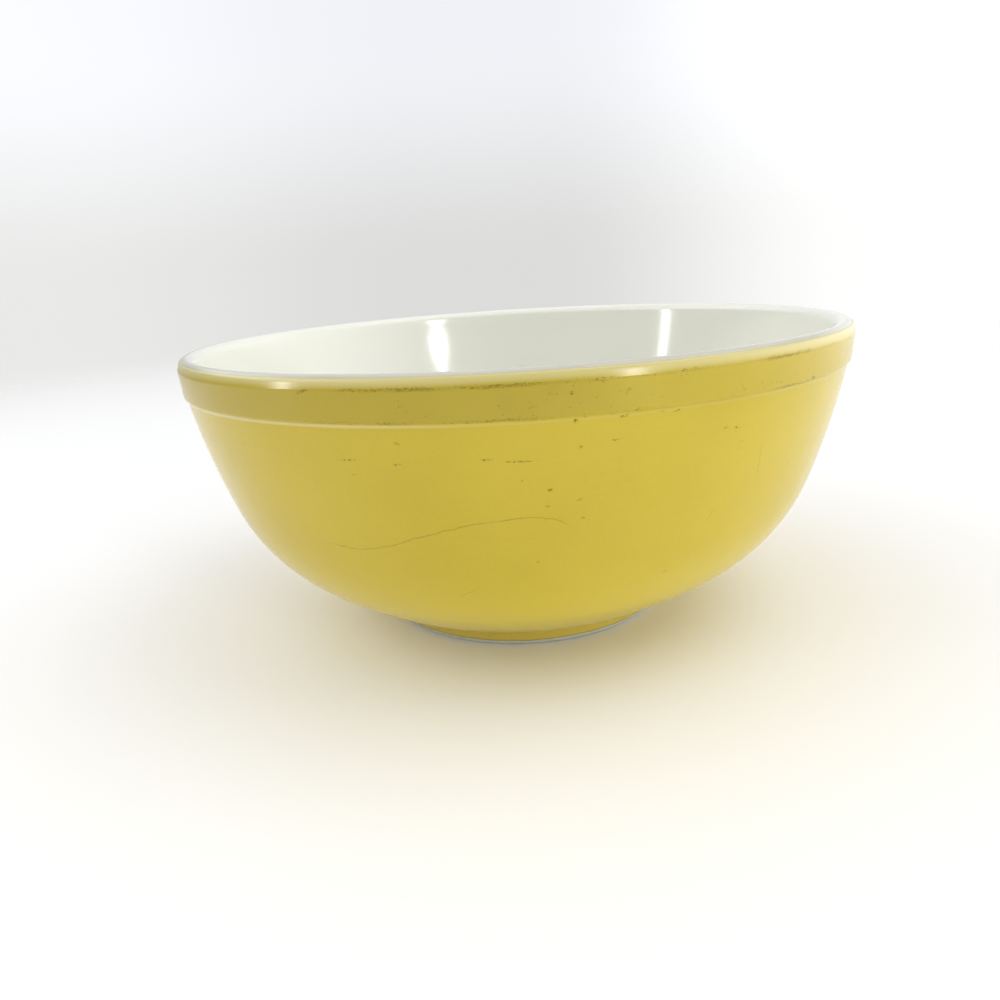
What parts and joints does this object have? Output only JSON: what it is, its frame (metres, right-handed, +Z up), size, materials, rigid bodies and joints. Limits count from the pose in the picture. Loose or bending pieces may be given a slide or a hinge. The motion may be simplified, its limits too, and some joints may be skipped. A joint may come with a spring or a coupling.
{
  "type": "mixing bowl",
  "caption": "Round footed mixing bowl of thick white opal glass with a raised band under the rim and a yellow enamel outside, for mixing and holding food.",
  "frame": {"origin": "centre of the foot ring, on the surface that the bowl stands on", "axes": "+Z is up, along the bowl's axis, from the foot to the open rim; X and Y are any two radial directions"},
  "size_m": [0.2666, 0.2666, 0.117],
  "materials": {
    "opal_glass": "gloss",
    "yellow_enamel": "satin"
  },
  "bodies": {
    "root": {"glass_bowl": "opal_glass", "enamel_coat": "yellow_enamel"}
  },
  "joints": []
}
